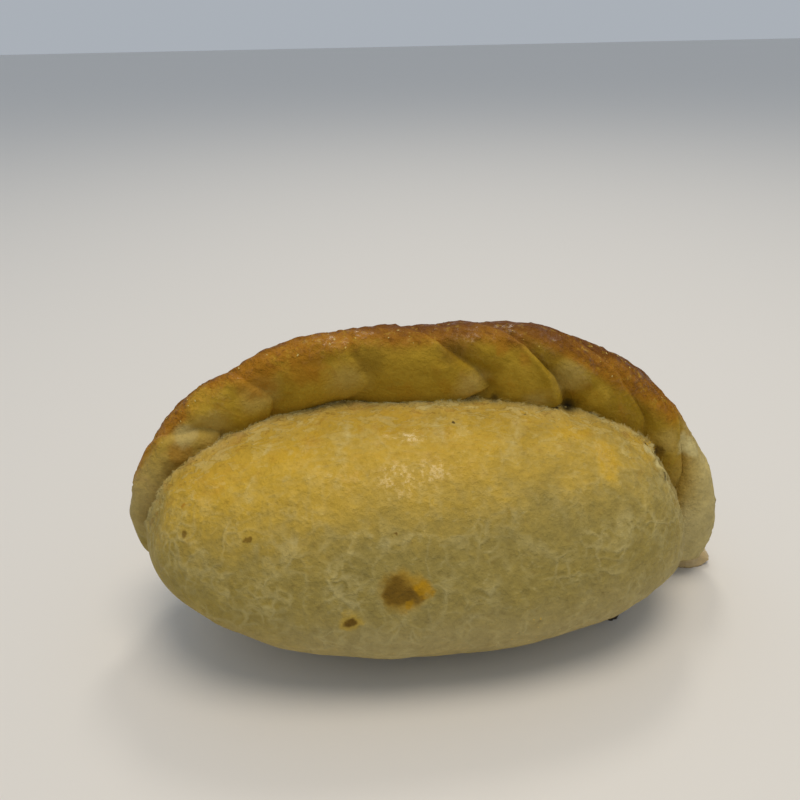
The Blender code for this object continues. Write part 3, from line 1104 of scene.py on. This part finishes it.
# Loose flakes: how many on a square metre where their cover is 1, length in metres, and seed.
FLAKES = {
    "edge_flakes": (72000.0, 0.0009, 3),
    "grains": (132000.0, 0.00036, 8),
}
FLOURY_PLACE = (12.5, -28.0, 11.5)  # low on the front of the belly, in mm
FULL_TURN = 6.28  # radians


def build_crust(scene):
    material = crust_material(scene.saltena_look)
    sizes = numbers_of(scene.saltena_pouch, scene.saltena_seam, scene.saltena_relief)
    graph, settings = crust_tree(sizes, material)
    claimed(grown("crust", graph, settings, path_start()))


def flake(graph):
    """One thin curled flake, 1 long, with an uneven rim."""
    ball = graph.add("GeometryNodeMeshIcoSphere", None, {"Radius": 0.5, "Subdivisions": 4})
    place = graph.place()
    x, y, z = graph.apart(graph.scaled(place, 1 + graph.noise(place, 0.30, 4.0, 0.65, 5.1) * 0.55))
    curl = x * x * 0.35 + x * 0.10 + graph.noise(place, 0.5, 2.0, 0.5, 6.1) * 0.05
    return moved(graph, ball, Position=graph.together(x, y * 0.55, z * 0.07 + curl))


def by_torn_edge(graph):
    """The edge flakes' cover: along the belly's torn edge, high up."""
    near_seam = 1 - graph.ease(graph.named("gap"), 0.0006, 0.0034)
    return near_seam * (1 - graph.named("on_seam")) * graph.ease(graph.apart(graph.place())[2], 0.028, 0.036)


def by_flour(graph):
    """The grains' cover: a few on top of the folds, and many on one floury place of the belly."""
    place = graph.place()
    on_top = graph.named("on_seam") * (1 - graph.ease(abs(graph.named("down")), 0.6, 1.2))
    on_top = on_top * graph.ease(graph.apart(place)[2], 0.03, 0.045)
    return on_top * 0.4 + graph.near(place, metres(FLOURY_PLACE), 0.002, 0.009) * 2.0


def build_flakes(scene, crust):
    """Small flakes along the belly's torn edge, and flour grains, scattered on the finished crust."""
    for name, where in (("edge_flakes", by_torn_edge), ("grains", by_flour)):
        density, length, seed = FLAKES[name]
        graph = growing_tree(name)
        start = Value(graph, graph.tree.nodes.new("NodeGroupInput").outputs["Start"])
        values = {"Mesh": start, "Density": where(graph) * density, "Seed": seed}
        points = graph.node("GeometryNodeDistributePointsOnFaces", None, values)

        def random_between(low, high, own_seed):
            values = {2: low, 3: high, "Seed": own_seed}
            return graph.add("FunctionNodeRandomValue", {"data_type": "FLOAT"}, values, 1)

        values = {"Axis": (0.0, 0.0, 1.0), "Angle": random_between(0.0, FULL_TURN, seed + 1)}
        turn = graph.add("FunctionNodeAxisAngleToRotation", None, values)
        values = {"Rotation": Value(graph, points.outputs["Rotation"]), "Rotate By": turn}
        turned = graph.add("FunctionNodeRotateRotation", {"rotation_space": "LOCAL"}, values)
        long = random_between(length * 0.5, length * 1.6, seed + 2)
        values = {
            "Points": Value(graph, points.outputs["Points"]),
            "Instance": flake(graph),
            "Rotation": turned,
            "Scale": graph.together(long, long, long),
        }
        placed = graph.add("GeometryNodeInstanceOnPoints", None, values)
        given_out(graph, placed, dough_material(name, scene.saltena_look))
        claimed(grown(name, graph, {}, crust.data.copy()))


def build_bits(scene):
    """The tongue of leaked juice and the burnt bit: two lumps that lie on the surface under the crust."""
    for name, middle, half_sizes, tone, roughness in BITS:
        graph = growing_tree(name)
        ball = graph.add("GeometryNodeMeshIcoSphere", None, {"Radius": 1.0, "Subdivisions": 5})
        place = graph.place()
        lumpy = graph.scaled(place, 1 + graph.noise(place, 0.8, 3.0, 0.55, 1.3) * 0.24)
        shape = graph.vector("MULTIPLY", lumpy, metres(half_sizes))
        shape = graph.vector("ADD", shape, metres(middle))
        lump = rested(graph, moved(graph, ball, Position=shape))
        given_out(graph, lump, plain_material(name, tone, roughness))
        claimed(grown(name, graph, {}))


# ---------------------------------------------------------------- stage

FLOOR_HALF = 3.0  # metres
DAYLIGHT = (0.84, 0.91, 1.0, 1.0)
# Each lamp: name, place and diameter in metres, power as a share of the overhead light's, and colour.
LAMPS = (
    ("overhead", (0.05, -0.10, 0.75), 0.42, 1.0, (1.0, 0.87, 0.69)),
    ("behind", (0.10, 0.42, 0.68), 0.16, 0.35, (1.0, 0.93, 0.80)),
)
AIM = (0.0, 0.0, 0.03)
# The camera stands where the photo was taken from: metres, degrees, and mm of lens and film.
CAMERA_PLACE = (-0.02516, -0.13844, 0.11655)
CAMERA_TURN = (64.056, 0.837, -7.119)
LENS = 36.0
FILM = 36.0


def build_stage(scene):
    stage = scene.saltena_stage
    mesh = bpy.data.meshes.new("floor")
    corners = [(x * FLOOR_HALF, y * FLOOR_HALF, 0) for x, y in ((-1, -1), (1, -1), (1, 1), (-1, 1))]
    mesh.from_pydata(corners, [], [(0, 1, 2, 3)])
    mesh.materials.append(plain_material("pale_floor", stage.floor, 0.55))
    put_in(scene, "floor", mesh)
    scene.world = bpy.data.worlds.new("room")
    scene.world.use_nodes = True
    graph = Graph(scene.world.node_tree)
    sky = graph.add("ShaderNodeBackground", None, {"Color": DAYLIGHT, "Strength": stage.room})
    graph.node("ShaderNodeOutputWorld", None, {0: sky})
    for name, place, diameter, power, tint in LAMPS:
        light = bpy.data.lights.new(name, "AREA")
        light.shape = "DISK"
        light.size = diameter
        light.energy = stage.overhead * power
        light.color = tint
        lamp = put_in(scene, name, light)
        lamp.location = place
        lamp.rotation_euler = (Vector(AIM) - Vector(place)).to_track_quat("-Z", "Y").to_euler()
    lens = bpy.data.cameras.new("camera")
    lens.lens = LENS
    lens.sensor_width = FILM
    lens.clip_start = 0.01
    camera = put_in(scene, "camera", lens)
    camera.location = CAMERA_PLACE
    camera.rotation_euler = Euler([math.radians(angle) for angle in CAMERA_TURN])
    scene.camera = camera
    scene.view_settings.view_transform = "Standard"


def put_in(scene, name, data):
    """A new object of the scene."""
    thing = bpy.data.objects.new(name, data)
    scene.collection.objects.link(thing)
    return thing


# ---------------------------------------------------------------- add-on


class SALTENA_OT_crust(bpy.types.Operator):
    """Add the baked dough: the belly and the folded seam"""

    bl_idname = "saltena.crust"
    bl_label = "Crust"

    def execute(self, context):
        build_crust(context.scene)
        return {"FINISHED"}


class SALTENA_OT_bits(bpy.types.Operator):
    """Add the leaked juice and the burnt bit at the foot"""

    bl_idname = "saltena.bits"
    bl_label = "Baked-on bits"

    def execute(self, context):
        build_bits(context.scene)
        return {"FINISHED"}


class SALTENA_OT_flakes(bpy.types.Operator):
    """Add the flakes along the belly's torn edge and the flour grains. Needs the crust"""

    bl_idname = "saltena.flakes"
    bl_label = "Flakes and grains"

    def execute(self, context):
        crust = bpy.data.objects.get("crust")
        if crust is None:
            raise RuntimeError("the crust comes first")
        build_flakes(context.scene, crust)
        return {"FINISHED"}


class SALTENA_OT_stage(bpy.types.Operator):
    """Add the floor, the light and the camera"""

    bl_idname = "saltena.stage"
    bl_label = "Stage"

    def execute(self, context):
        build_stage(context.scene)
        return {"FINISHED"}


OPERATORS = (SALTENA_OT_crust, SALTENA_OT_bits, SALTENA_OT_flakes, SALTENA_OT_stage)
GROUPS = {
    "saltena_pouch": PouchSizes,
    "saltena_seam": SeamSizes,
    "saltena_relief": CrustRelief,
    "saltena_look": CrustLook,
    "saltena_stage": StageLook,
}


class SALTENA_PT_pieces(bpy.types.Panel):
    """The pieces of the saltena and their settings"""

    bl_idname = "SALTENA_PT_pieces"
    bl_label = "Saltena"
    bl_space_type = "VIEW_3D"
    bl_region_type = "UI"
    bl_category = "Saltena"

    def draw(self, context):
        for operator in OPERATORS:
            self.layout.operator(operator.bl_idname)
        for name in GROUPS:
            group = getattr(context.scene, name)
            box = self.layout.box()
            for item in group.bl_rna.properties:
                if item.identifier not in {"rna_type", "name"}:
                    box.prop(group, item.identifier)


def register():
    for name, group in GROUPS.items():
        bpy.utils.register_class(group)
        setattr(bpy.types.Scene, name, bpy.props.PointerProperty(type=group))
    for kind in (*OPERATORS, SALTENA_PT_pieces):
        bpy.utils.register_class(kind)


def unregister():
    for kind in (SALTENA_PT_pieces, *reversed(OPERATORS)):
        bpy.utils.unregister_class(kind)
    for name, group in reversed(GROUPS.items()):
        delattr(bpy.types.Scene, name)
        bpy.utils.unregister_class(group)


def main():
    register()
    bpy.ops.saltena.crust()
    bpy.ops.saltena.bits()
    bpy.ops.saltena.flakes()
    bpy.ops.saltena.stage()


if __name__ == "__main__":
    main()
